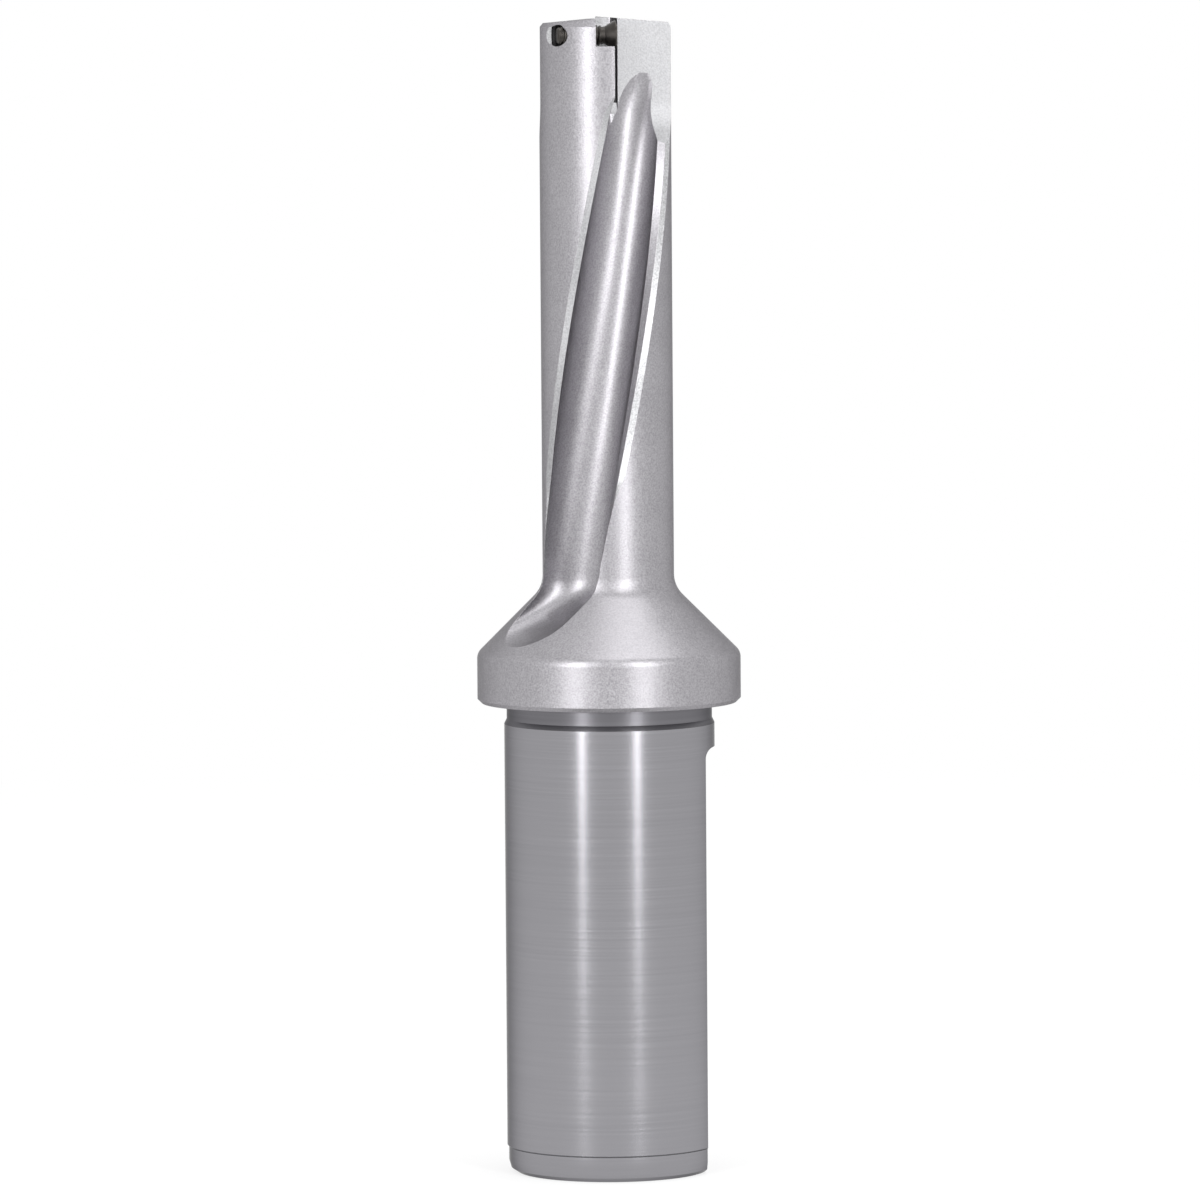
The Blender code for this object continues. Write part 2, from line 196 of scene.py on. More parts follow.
def turned(name, profile, segments, place=None):
    """A solid turned about Z from (radius, height) points, whose ends lie on the axis.
    Its edges are turned by a share of a step, so that none lies in the plane of a cut."""
    shape = bmesh.new()
    rings = []
    for radius, height in profile:
        if radius == 0:
            rings.append([shape.verts.new((0, 0, height))])
            continue
        angles = [2 * math.pi * (i + SEAM_TURN) / segments for i in range(segments)]
        rings.append(
            [shape.verts.new((radius * math.cos(a), radius * math.sin(a), height)) for a in angles]
        )
    for lower, upper in zip(rings, rings[1:]):
        for i in range(segments):
            j = (i + 1) % segments
            if len(lower) == 1:
                shape.faces.new((lower[0], upper[j], upper[i]))
            elif len(upper) == 1:
                shape.faces.new((lower[i], lower[j], upper[0]))
            else:
                shape.faces.new((lower[i], lower[j], upper[j], upper[i]))
    made = solid(name, shape)
    if place:
        made.data.transform(place)
    return made


def carved(name, blank, cutters, smooth_angle=math.radians(20)):
    """The blank less its cutters, with soft shading on the round faces."""
    for cutter in cutters:
        boolean = blank.modifiers.new(cutter.name, "BOOLEAN")
        boolean.operation = "DIFFERENCE"
        boolean.solver = "EXACT"
        boolean.object = cutter
    cut = bpy.data.meshes.new_from_object(
        blank.evaluated_get(bpy.context.evaluated_depsgraph_get())
    )
    for used in (blank, *cutters):
        bpy.data.objects.remove(used)
    cut.shade_smooth()
    cut.set_sharp_from_angle(angle=smooth_angle)
    rough = bpy.data.objects.new(name, cut)
    bpy.context.collection.objects.link(rough)
    weighted = rough.modifiers.new("even shading", "WEIGHTED_NORMAL")
    weighted.mode = "FACE_AREA_WITH_ANGLE"
    weighted.keep_sharp = True
    final = bpy.data.meshes.new_from_object(
        rough.evaluated_get(bpy.context.evaluated_depsgraph_get())
    )
    bpy.data.objects.remove(rough)
    final.name = name
    made = bpy.data.objects.new(name, final)
    bpy.context.collection.objects.link(made)
    return made


def blank_profile():
    """The turned outline, from the shank's end face up to the stock at the point."""
    end_radius = SHANK_RADIUS - SHANK_END_RELIEF
    groove_radius = SHANK_RADIUS - UNDERCUT_DEPTH
    groove_low = SHANK_LENGTH - UNDERCUT_LENGTH
    flange_top = SHANK_LENGTH + FLANGE_THICKNESS
    cone_run = FLANGE_RADIUS - BODY_RADIUS
    neck_height = flange_top + cone_run / math.tan(CONE_ANGLE)
    edge_reach = FLANGE_EDGE_RADIUS * math.tan(CONE_ANGLE / 2)
    neck_reach = NECK_FILLET * math.tan(CONE_ANGLE / 2)
    edge_centre = (FLANGE_RADIUS - FLANGE_EDGE_RADIUS, flange_top - edge_reach)
    neck_centre = (BODY_RADIUS + NECK_FILLET, neck_height + neck_reach)
    rim_height = BODY_END - END_CHAMFER_HEIGHT
    rings = round((rim_height - neck_centre[1]) / RING_STEP)
    ring_gap = (rim_height - neck_centre[1]) / rings
    stock_end = BODY_END + END_STOCK
    return [
        (0, 0),
        (end_radius - SHANK_END_CHAMFER, 0),
        (end_radius - SHANK_END_EDGE, SHANK_END_CHAMFER / 2),
        (end_radius, SHANK_END_ROUNDING),
        (end_radius, SHANK_END_LENGTH - SHANK_END_RELIEF),
        (SHANK_RADIUS, SHANK_END_LENGTH),
        (SHANK_RADIUS, groove_low),
        (groove_radius, groove_low + UNDERCUT_FLANK),
        (groove_radius, SHANK_LENGTH),
        (FLANGE_RADIUS - FLANGE_CHAMFER, SHANK_LENGTH),
        (FLANGE_RADIUS, SHANK_LENGTH + FLANGE_CHAMFER),
        *arc(edge_centre, FLANGE_EDGE_RADIUS, 0, CONE_ANGLE, FILLET_STEPS),
        *arc(neck_centre, NECK_FILLET, math.pi + CONE_ANGLE, math.pi, FILLET_STEPS),
        *((BODY_RADIUS, neck_centre[1] + ring_gap * (i + 1)) for i in range(rings)),
        (BODY_RADIUS - END_CHAMFER_WIDTH * (1 + END_STOCK / END_CHAMFER_HEIGHT), stock_end),
        (0, stock_end),
    ]


def flute_angle(height):
    return FLUTE_ANGLE_AT_END + 2 * math.pi * (height - BODY_END) / FLUTE_LEAD


def foot_outline():
    """The cutter's outline where the flute starts: a round floor between plain walls."""
    right_radius = FOOT_HALF_WIDTH - FLUTE_SHIFT
    right_centre = (FLUTE_HALF_WEB + right_radius, FLUTE_SHIFT)
    left_centre = (FLUTE_HALF_WEB + FLOOR_RADIUS_LEFT, FLUTE_SHIFT)
    left_wall = FLUTE_SHIFT - FLOOR_RADIUS_LEFT
    outside = BODY_RADIUS + OVERCUT / 2
    middle = math.pi
    right_half = arc(right_centre, right_radius, middle / 2, middle, ARC_STEPS)
    left_half = arc(left_centre, FLOOR_RADIUS_LEFT, middle, middle * 3 / 2, ARC_STEPS)
    return [
        (outside, FOOT_HALF_WIDTH),
        (right_centre[0] + FOOT_WALL, FOOT_HALF_WIDTH),
        *right_half,
        *left_half[1:],
        (left_centre[0] + FOOT_WALL, left_wall),
        (outside, left_wall),
    ]


def main_outline():
    """The outline further up: a floor of two arcs with a narrow margin on each side."""
    right_land = BODY_RADIUS * Vector((math.cos(RIGHT_LAND_ANGLE), math.sin(RIGHT_LAND_ANGLE)))
    left_land = BODY_RADIUS * Vector((math.cos(LEFT_LAND_ANGLE), -math.sin(LEFT_LAND_ANGLE)))
    right_margin = Vector((-MARGIN_DROP, MARGIN_WIDTH))
    left_margin = Vector((MARGIN_DROP, MARGIN_WIDTH))
    left_edge = left_land + left_margin
    right_centre = (FLUTE_HALF_WEB + FLOOR_RADIUS_RIGHT, FLUTE_SHIFT)
    left_centre = (FLUTE_HALF_WEB + FLOOR_RADIUS_LEFT, FLUTE_SHIFT)
    left_reach = (FLUTE_SHIFT - left_edge.y) / FLOOR_RADIUS_LEFT
    left_span = math.asin(min(left_reach, 1))
    middle = math.pi
    right_half = arc(right_centre, FLOOR_RADIUS_RIGHT, middle / 2, middle, ARC_STEPS)
    left_half = arc(left_centre, FLOOR_RADIUS_LEFT, middle, middle + left_span, ARC_STEPS)
    return [
        right_land + right_margin,
        right_land - right_margin,
        *right_half,
        *left_half[1:],
        left_edge,
        left_land - left_margin,
    ]


def flute_section(height):
    """The cutter's outline in the flute's own plane, with x along its centre line."""
    share = (height - SHANK_LENGTH - EDGE_FADE_START) / EDGE_FADE_LENGTH
    share = min(max(share, 0), 1)
    points = [
        Vector(foot).lerp(Vector(main), share)
        for foot, main in zip(foot_outline(), main_outline())
    ]
    outside = BODY_RADIUS + OVERCUT
    return [Vector((outside, points[0].y)), *points, Vector((outside, points[-1].y))]


def runout_shift(drop):
    """How far outward the cutter has gone at a drop below the flute's foot: round a
    bend, and then straight down the slope."""
    run = 1 / math.tan(RUNOUT_SLOPE)
    bend_drop = run * RUNOUT_BEND
    if drop < bend_drop:
        return drop**2 / (2 * RUNOUT_BEND)
    return run * (drop - bend_drop / 2)


def flute_cutter(name, turn):
    """Leaves through the cone at its foot, follows the helix, and near the point lifts
    out of the gullet's floor on an arc."""
    foot = SHANK_LENGTH + RUNOUT_HEIGHT
    high = BODY_END - FLUTE_TOP_GAP
    rise_start = BODY_END - FLUTE_RISE_LENGTH
    way = flute_angle(foot) + RUNOUT_TURN
    sections = []
    for i in range(RUNOUT_STEPS, 0, -1):
        drop = RUNOUT_DROP * i / RUNOUT_STEPS
        shift = runout_shift(drop) * Vector((math.cos(way), math.sin(way), 0))
        twist = about_axis(flute_angle(foot))
        points = [twist @ Vector((p.x, p.y, foot - drop)) for p in flute_section(foot)]
        sections.append([about_axis(turn) @ (point + shift) for point in points])
    steps = math.ceil((high - foot) / FLUTE_STEP)
    for i in range(steps + 1):
        height = foot + (high - foot) * i / steps
        risen = max(height - rise_start, 0)
        rise = FLUTE_RISE_RADIUS - math.sqrt(FLUTE_RISE_RADIUS**2 - risen**2)
        out = rise * Vector((math.cos(FLUTE_RISE_WAY), math.sin(FLUTE_RISE_WAY), 0))
        twist = about_axis(flute_angle(height))
        points = [twist @ Vector((p.x, p.y, height)) for p in flute_section(height)]
        sections.append([about_axis(turn) @ (point + out) for point in points])
    return loft(name, sections)


def gullet_cutter(name, depth, width, length, turn):
    """Clears the chip space in front of a seat: the rake wall lies on X = 0. Its floor
    runs out in the arc that a side cutter leaves."""
    far = BODY_RADIUS + OVERCUT
    low = BODY_END - length
    sections = []
    for i in range(GULLET_FINE_STEPS, -1, -1):
        below = GULLET_RUNOUT * i / GULLET_FINE_STEPS
        lift = GULLET_CUTTER_RADIUS - math.sqrt(GULLET_CUTTER_RADIUS**2 - below**2)
        sections.append((low - below, depth - lift))
    sections.append((BODY_END + OVERCUT, depth))

    def outline(height, floor):
        corner = (RAKE_WALL + GULLET_CORNER, floor - GULLET_CORNER)
        side = RAKE_WALL + width
        points = [(RAKE_WALL, -far), (side, -far), (side, floor)]
        points += arc(corner, GULLET_CORNER, math.pi / 2, math.pi, CORNER_STEPS)
        return [about_axis(turn) @ Vector((x, y, height)) for x, y in points]

    return loft(name, [outline(height, floor) for height, floor in sections])


def end_relief_cutter():
    """A roof whose ridge lies along both rake faces, so each end face falls away behind."""
    far = BODY_RADIUS + OVERCUT
    low = BODY_END - far * math.tan(END_RELIEF)
    high = BODY_END + OVERCUT
    outline = [(-far, low), (0, BODY_END), (far, low), (far, high), (-far, high)]
    return loft("end_relief", [[Vector((x, y, z)) for x, z in outline] for y in (far, -far)])


def flat_cutter():
    """The side cutter of the clamping flat, with its corner radius at the upper end."""
    far = SHANK_RADIUS + OVERCUT
    top = SHANK_LENGTH - FLAT_SETBACK
    corner = (FLAT_HEIGHT + FLAT_CUTTER_RADIUS, top - FLAT_CUTTER_RADIUS)
    outline = [(far, top), (far, -OVERCUT), (FLAT_HEIGHT, -OVERCUT)]
    outline += arc(corner, FLAT_CUTTER_RADIUS, math.pi, math.pi / 2, FILLET_STEPS)
    return loft("flat", [[Vector((x, y, z)) for x, z in outline] for y in (-far, far)])


def trigon(inscribed, corner):
    """Three 80 degree corners joined by sides that are bent by 20 degrees, leaned so
    that the seat's outer shoulder lies level with the edge it carries."""
    outline = []
    reach = (inscribed - corner) / math.sin(math.radians(40))
    bend = inscribed / math.cos(math.radians(10))
    for i in range(3):
        axis = math.radians(30 + 120 * i)
        centre = (reach * math.cos(axis), reach * math.sin(axis))
        spread = math.radians(50)
        outline += arc(centre, corner, axis - spread, axis + spread, CORNER_STEPS)
        middle = axis + math.radians(60)
        outline.append((bend * math.cos(middle), bend * math.sin(middle)))
    cosine, sine = math.cos(SEAT_LEAN), math.sin(SEAT_LEAN)
    return [(cosine * x - sine * y, sine * x + cosine * y) for x, y in outline]


def seat_frame(reach, turn):
    """The seat's frame: X towards the axis, Y to the point, Z out of the rake face."""
    place = Matrix(
        (
            (0, 0, 1, 0),
            (1, 0, 0, -reach),
            (0, 1, 0, BODY_END - SEAT_DROP),
            (0, 0, 0, 1),
        )
    )
    return about_axis(turn) @ place


def pocket_cutter(name, reach, turn, open_side):
    """The insert's outline, opened to the point and, in the outer seat, to the side."""
    outline = trigon(SEAT_INSCRIBED, SEAT_CORNER)
    right = max(outline, key=lambda point: point[0])
    left = min(outline, key=lambda point: point[0])
    shoulders = [p for p in outline if p[0] < -SEAT_INSCRIBED / 2 and p[1] < 0]
    low_bend = min(shoulders, key=lambda point: math.hypot(*point))
    side = low_bend if open_side else left
    start = outline.index(side)
    ahead = outline[start:] + outline[:start]
    lower = ahead[: ahead.index(right) + 1]
    top = SEAT_DROP + OVERCUT
    if open_side:
        upper = [(right[0], top), (-BODY_RADIUS, top), (-BODY_RADIUS, side[1])]
    else:
        upper = [(right[0], top), (left[0], top)]
    heights = (-SEAT_DEPTH, SEAT_CORNER)
    made = loft(name, [[Vector((x, y, z)) for x, y in (*lower, *upper)] for z in heights])
    made.data.transform(seat_frame(reach, turn))
    return made


def screw_hole(name, reach, turn):
    """The threaded hole behind a seat, drilled through to a countersunk mouth outside."""
    radius = SCREW_RADIUS + SCREW_GAP
    exit_depth = math.sqrt(BODY_RADIUS**2 - (reach - radius) ** 2)
    mouth = HOLE_MOUTH_WIDTH
    profile = [
        (0, -exit_depth - OVERCUT),
        (radius + mouth + OVERCUT, -exit_depth - OVERCUT),
        (radius, mouth - exit_depth),
        (radius, -SEAT_DEPTH / 2),
        (0, -SEAT_DEPTH / 2),
    ]
    return turned(name, profile, HOLE_SEGMENTS, seat_frame(reach, turn))


def supply_cutter():
    """The coolant bore in the shank, with its drill point and the channel in the web."""
    depth = SHANK_LENGTH - SUPPLY_END_WALL
    point = SUPPLY_RADIUS / math.tan(SUPPLY_POINT_ANGLE)
    throat = WEB_CHANNEL_RADIUS / math.tan(SUPPLY_POINT_ANGLE)
    profile = [
        (0, -OVERCUT),
        (SUPPLY_RADIUS + SUPPLY_CHAMFER + OVERCUT, -OVERCUT),
        (SUPPLY_RADIUS, SUPPLY_CHAMFER),
        (SUPPLY_RADIUS, depth),
        (WEB_CHANNEL_RADIUS, depth + point - throat),
        (WEB_CHANNEL_RADIUS, BODY_END - OUTLET_LENGTH),
        (0, BODY_END - OUTLET_LENGTH + throat),
    ]
    return turned("supply", profile, HOLE_SEGMENTS * 2)


def outlet_cutter(name, angle):
    """A coolant outlet, drilled from the end face down to the channel in the web."""
    start = Vector((0, 0, BODY_END - OUTLET_LENGTH - OUTLET_RADIUS))
    reach = BODY_RADIUS - OUTLET_INSET
    end = Vector((reach * math.cos(angle), reach * math.sin(angle), BODY_END))
    along = end - start
    length = along.length + OVERCUT
    profile = [(0, 0), (OUTLET_RADIUS, 0), (OUTLET_RADIUS, length), (0, length)]
    lay = Matrix.Translation(start) @ along.to_track_quat("Z", "Y").to_matrix().to_4x4()
    return turned(name, profile, HOLE_SEGMENTS, lay)


def linear(code):
    """The linear colour of an sRGB hex value."""
    levels = [int(code[i : i + 2], 16) / 255 for i in (1, 3, 5)]
    return (
        *(v / 12.92 if v <= 0.04045 else ((v + 0.055) / 1.055) ** 2.4 for v in levels),
        1,
    )


def add(tree, kind, inputs=None, **settings):
    """One node of a tree. An input is given a value, or the socket that feeds it."""
    made = tree.nodes.new(kind)
    for name, value in settings.items():
        setattr(made, name, value)
    for name, value in (inputs or {}).items():
        if isinstance(value, bpy.types.NodeSocket):
            tree.links.new(value, made.inputs[name])
        else:
            made.inputs[name].default_value = value
    return made


def bare_metal(name, metallic, tint="#A8A8A8"):
    """A new metal and the tint that its edges reflect. Gives the material, its tree and
    its shader, and the object's own coordinates for its patterns."""
    made = bpy.data.materials.new(name)
    made.use_nodes = True
    tree = made.node_tree
    shader = tree.nodes["Principled BSDF"]
    shader.inputs["Metallic"].default_value = metallic
    shader.inputs["Specular Tint"].default_value = linear(tint)
    place = add(tree, "ShaderNodeTexCoord").outputs["Object"]
    return made, tree, shader, place


def grainy_steel(name, dark, light, rough_low, rough_high):
    """Steel with an even grain: craters about 0.05 mm wide, drawn at 0.2 mm so that they
    show, under faint clouds some 4 mm across. Its edges are broken by 0.08 mm."""
    made, tree, shader, place = bare_metal(name, 1)
    clouds = add(tree, "ShaderNodeTexNoise", {"Vector": place, "Scale": 1 / 0.004, "Detail": 3})
    craters = add(tree, "ShaderNodeTexNoise", {"Vector": place, "Scale": 1 / 0.0002, "Detail": 2})
    grain = add(
        tree,
        "ShaderNodeMapRange",
        {"Value": craters.outputs["Fac"], "From Min": 0.32, "From Max": 0.68},
    )
    blend = add(
        tree,
        "ShaderNodeMix",
        {0: 0.3, 2: grain.outputs["Result"], 3: clouds.outputs["Fac"]},
    )
    colour = add(
        tree,
        "ShaderNodeMix",
        {0: blend.outputs[0], 6: linear(dark), 7: linear(light)},
        data_type="RGBA",
    )
    rough = add(
        tree,
        "ShaderNodeMapRange",
        {"Value": grain.outputs["Result"], "To Min": rough_low, "To Max": rough_high},
    )
    edges = add(tree, "ShaderNodeBevel", {"Radius": 0.00008}, samples=4)
    bump = add(
        tree,
        "ShaderNodeBump",
        {
            "Height": craters.outputs["Fac"],
            "Strength": 0.4,
            "Distance": 0.00003,
            "Normal": edges.outputs["Normal"],
        },
    )
    tree.links.new(colour.outputs[2], shader.inputs["Base Color"])
    tree.links.new(rough.outputs["Result"], shader.inputs["Roughness"])
    tree.links.new(bump.outputs["Normal"], shader.inputs["Normal"])
    return made


def blasted_steel():
    """Bead-blasted and plated tool steel, an even satin grey."""
    return grainy_steel("blasted_tool_steel", "#918F93", "#B7B5B9", 0.34, 0.44)


def milled_steel():
    """Milled steel on the gullet floors and left margins: paler than the rest."""
    return grainy_steel("milled_tool_steel", "#929294", "#BCBCBE", 0.4, 0.55)


def margin_highlight_steel():
    """The right margins, the brightest and coarsest faces: their pale colour is a painted
    highlight.
    """
    return grainy_steel("painted_highlight_margin_steel", "#A2A2A4", "#DCDCDE", 0.38, 0.6)


def ringed_steel(name, length, width, detail, dark, light):
    """Steel with hair-thin rings round the drill's axis, of a given length and width.
    Gives the material, its tree and its shader, and the rings' pattern."""
    made, tree, shader, place = bare_metal(name, 1)
    stretch = add(
        tree,
        "ShaderNodeMapping",
        {"Vector": place, "Scale": (1 / length, 1 / length, 1 / width)},
    )
    rings = add(
        tree,
        "ShaderNodeTexNoise",
        {"Vector": stretch.outputs["Vector"], "Scale": 1, "Detail": detail},
    ).outputs["Fac"]
    colour = add(
        tree,
        "ShaderNodeMix",
        {0: rings, 6: linear(dark), 7: linear(light)},
        data_type="RGBA",
    )
    tree.links.new(colour.outputs[2], shader.inputs["Base Color"])
    return made, tree, shader, rings


def ground_steel():
    """Cylindrically ground steel: a clean sheen with faint lines round the shank, some
    20 mm long and 0.2 mm wide."""
    name = "ground_tool_steel"
    made, tree, shader, lines = ringed_steel(name, 0.02, 0.0002, 4, "#8F8E92", "#9A999D")
    rough = add(
        tree,
        "ShaderNodeMapRange",
        {
            "Value": lines,
            "From Min": 0.3,
            "From Max": 0.7,
            "To Min": 0.17,
            "To Max": 0.23,
        },
    )
    tree.links.new(rough.outputs["Result"], shader.inputs["Roughness"])
    return made


def turned_steel():
    """Turned steel in the undercut: dark, with the tool's rings some 0.3 mm wide."""
    name = "turned_tool_steel"
    made, tree, shader, rings = ringed_steel(name, 0.03, 0.0003, 3, "#69686C", "#7E7D81")
    shader.inputs["Roughness"].default_value = 0.3
    return made


def painted_shade_steel():
    """The threaded holes, the coolant bores and the deep part of the near chip slot: a near-black
    colour that is painted shade in these recesses, with the thread's rings 0.45 mm apart across
    the holes."""
    made, tree, shader, place = bare_metal("painted_shade_tool_steel", 0.6, "#FFFFFF")
    rings = add(
        tree,
        "ShaderNodeTexWave",
        {"Vector": place, "Scale": 2 * math.pi / 20 / 0.00045},
        bands_direction="X",
    )
    colour = add(
        tree,
        "ShaderNodeMix",
        {0: rings.outputs["Fac"], 6: linear("#1E1D1E"), 7: linear("#3B3A3C")},
        data_type="RGBA",
    )
    tree.links.new(colour.outputs[2], shader.inputs["Base Color"])
    shader.inputs["Roughness"].default_value = 0.5
    return made


# The brightest steel is a painted highlight on the right margins.
# The near-black steel is painted shade, laid in the bores, the threaded holes and the chip slot.
FINISHES = {
    "blasted": blasted_steel,
    "ground": ground_steel,
    "turned": turned_steel,
    "milled": milled_steel,
    "painted_shade": painted_shade_steel,
    "margin_highlight": margin_highlight_steel,
}


def finish_of(face):
    """Which finish a face has, by where it lies and which way it faces."""
    centre = face.center
    out = math.hypot(centre.x, centre.y)
    # Inside the coolant bore, here and at the undercut, the near-black steel is painted shade.
    if centre.z < SHANK_LENGTH - UNDERCUT_LENGTH:
        return "ground" if out > SUPPLY_RADIUS + SUPPLY_CHAMFER else "painted_shade"
    if centre.z < SHANK_LENGTH + FLANGE_CHAMFER / 4:
        return "turned" if out > SUPPLY_RADIUS else "painted_shade"
    for reach, turn in SEATS.values():
        to_seat = seat_frame(reach, turn).inverted()
        local = to_seat @ centre
        facing = to_seat.to_3x3() @ face.normal
        across = math.hypot(local.x, local.y)
        inward = facing.x * local.x + facing.y * local.y < -0.9 * across
        on_wall = across < (SCREW_RADIUS + SCREW_GAP) * 1.01
        # The walls of each threaded hole get the near-black steel: painted shade inside the hole.
        if local.z < -SEAT_DEPTH - SCREW_GAP and on_wall and inward:
            return "painted_shade"
    gullet_low = BODY_END - GULLET_LENGTH
    on_gullet = abs(face.normal.x) < 0.01 and abs(face.normal.z) < 0.95
    if on_gullet and centre.z > gullet_low - GULLET_RUNOUT and out < BODY_RADIUS * 0.995:
        below = min(max(gullet_low - centre.z, 0), GULLET_RUNOUT)
        lift = GULLET_CUTTER_RADIUS - math.sqrt(GULLET_CUTTER_RADIUS**2 - below**2)
        sunk = centre.y - NEAR_GULLET_DEPTH + lift
        # The deep part of the near chip slot gets the near-black steel: painted shade in the
        # narrow slot.
        in_slot = 0 < centre.x < RAKE_WALL + CHIP_SLOT_WIDTH and centre.y < 0
        return "painted_shade" if in_slot and sunk > CHIP_SLOT_DEPTH / 2 else "milled"
    margin = BODY_RADIUS - MARGIN_DROP * 2 < out < BODY_RADIUS * 0.998
    if margin and centre.z > SHANK_LENGTH + EDGE_FADE_START and abs(face.normal.z) < 0.5:
        # The right margins get the brightest steel, a painted highlight; the left margins get
        # milled steel.
        inward = about_axis(-flute_angle(centre.z)) @ centre
        if inward.x < 0:
            inward.y = -inward.y
        return "margin_highlight" if inward.y > 0 else "milled"
    return "blasted"


def body_cutters():
    """All the body's cuts in their order: the gullets come before the flutes."""
    cutters = [end_relief_cutter(), flat_cutter()]
    full_width = BODY_RADIUS + OVERCUT
    for side, turn, depth in (("near", 0, NEAR_GULLET_DEPTH), ("far", math.pi, FAR_GULLET_DEPTH)):
        cutters.append(gullet_cutter(f"{side}_gullet", depth, full_width, GULLET_LENGTH, turn))
    slot_depth = NEAR_GULLET_DEPTH + CHIP_SLOT_DEPTH
    slot = gullet_cutter("near_chip_slot", slot_depth, CHIP_SLOT_WIDTH, CHIP_SLOT_LENGTH, 0)
    cutters.append(slot)
    for side, turn in (("near", 0), ("far", math.pi)):
        cutters.append(flute_cutter(f"{side}_flute", turn))
    cutters.append(supply_cutter())
    cutters.append(outlet_cutter("near_outlet", NEAR_OUTLET_ANGLE))
    cutters.append(outlet_cutter("far_outlet", FAR_OUTLET_ANGLE))
    for side, (reach, turn) in SEATS.items():
        cutters.append(pocket_cutter(f"{side}_pocket", reach, turn, side == "peripheral"))
        cutters.append(screw_hole(f"{side}_thread", reach, turn))
    return cutters


bar = turned("blank", blank_profile(), TURNED_SEGMENTS)
drill = carved("satin_drill_body", bar, body_cutters())
for finish in FINISHES.values():
    drill.data.materials.append(finish())
slots = list(FINISHES)
for face in drill.data.polygons:
    face.material_index = slots.index(finish_of(face))
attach(drill, "root")
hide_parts("drill_body")

# The two insert screws are blackened alloy steel: rolled M2.5 threads under a countersunk
# head with a six-lobe recess. Each stands partly screwed into its empty seat.
SCREW_LENGTH = 0.007
SCREW_HEAD_RADIUS = 0.00172
SCREW_HEAD_HEIGHT = 0.00135
SCREW_RIM_HEIGHT = 0.00015
SCREW_END_CHAMFER = 0.00025
SCREW_RECESS_RADIUS = 0.00114
SCREW_RECESS_LOBE = 0.00016
SCREW_RECESS_DEPTH = 0.0008
SCREW_STANDOFF = 0.0006
THREAD_PITCH = 0.00045
THREAD_DEPTH = 0.0002
THREAD_ROOT = 0.0001
THREAD_FOOT_SHARE = 0.85
THREAD_STEPS = 48
SCREW_SEGMENTS = 72
RECESS_FINE_STEPS = 96


def screw_core(name):
    """The screw without its thread, with its head up, and its recess cut."""
    core_radius = SCREW_RADIUS - THREAD_DEPTH
    low = SCREW_STANDOFF - SCREW_LENGTH
    profile = [
        (0, low),
        (core_radius - SCREW_END_CHAMFER, low),
        (core_radius, low + SCREW_END_CHAMFER),
        (core_radius, SCREW_STANDOFF - SCREW_HEAD_HEIGHT),
        (SCREW_HEAD_RADIUS, SCREW_STANDOFF - SCREW_RIM_HEIGHT),
        (SCREW_HEAD_RADIUS, SCREW_STANDOFF),
        (0, SCREW_STANDOFF),
    ]
    lobes = []
    for i in range(RECESS_FINE_STEPS):
        angle = 2 * math.pi * i / RECESS_FINE_STEPS
        radius = SCREW_RECESS_RADIUS - SCREW_RECESS_LOBE * (1 - math.cos(6 * angle))
        lobes.append((radius * math.cos(angle), radius * math.sin(angle)))
    heights = (SCREW_STANDOFF - SCREW_RECESS_DEPTH, SCREW_STANDOFF + OVERCUT)
    recess = loft("recess", [[Vector((x, y, z)) for x, y in lobes] for z in heights])
    return carved(name, turned("screw_blank", profile, SCREW_SEGMENTS), [recess])


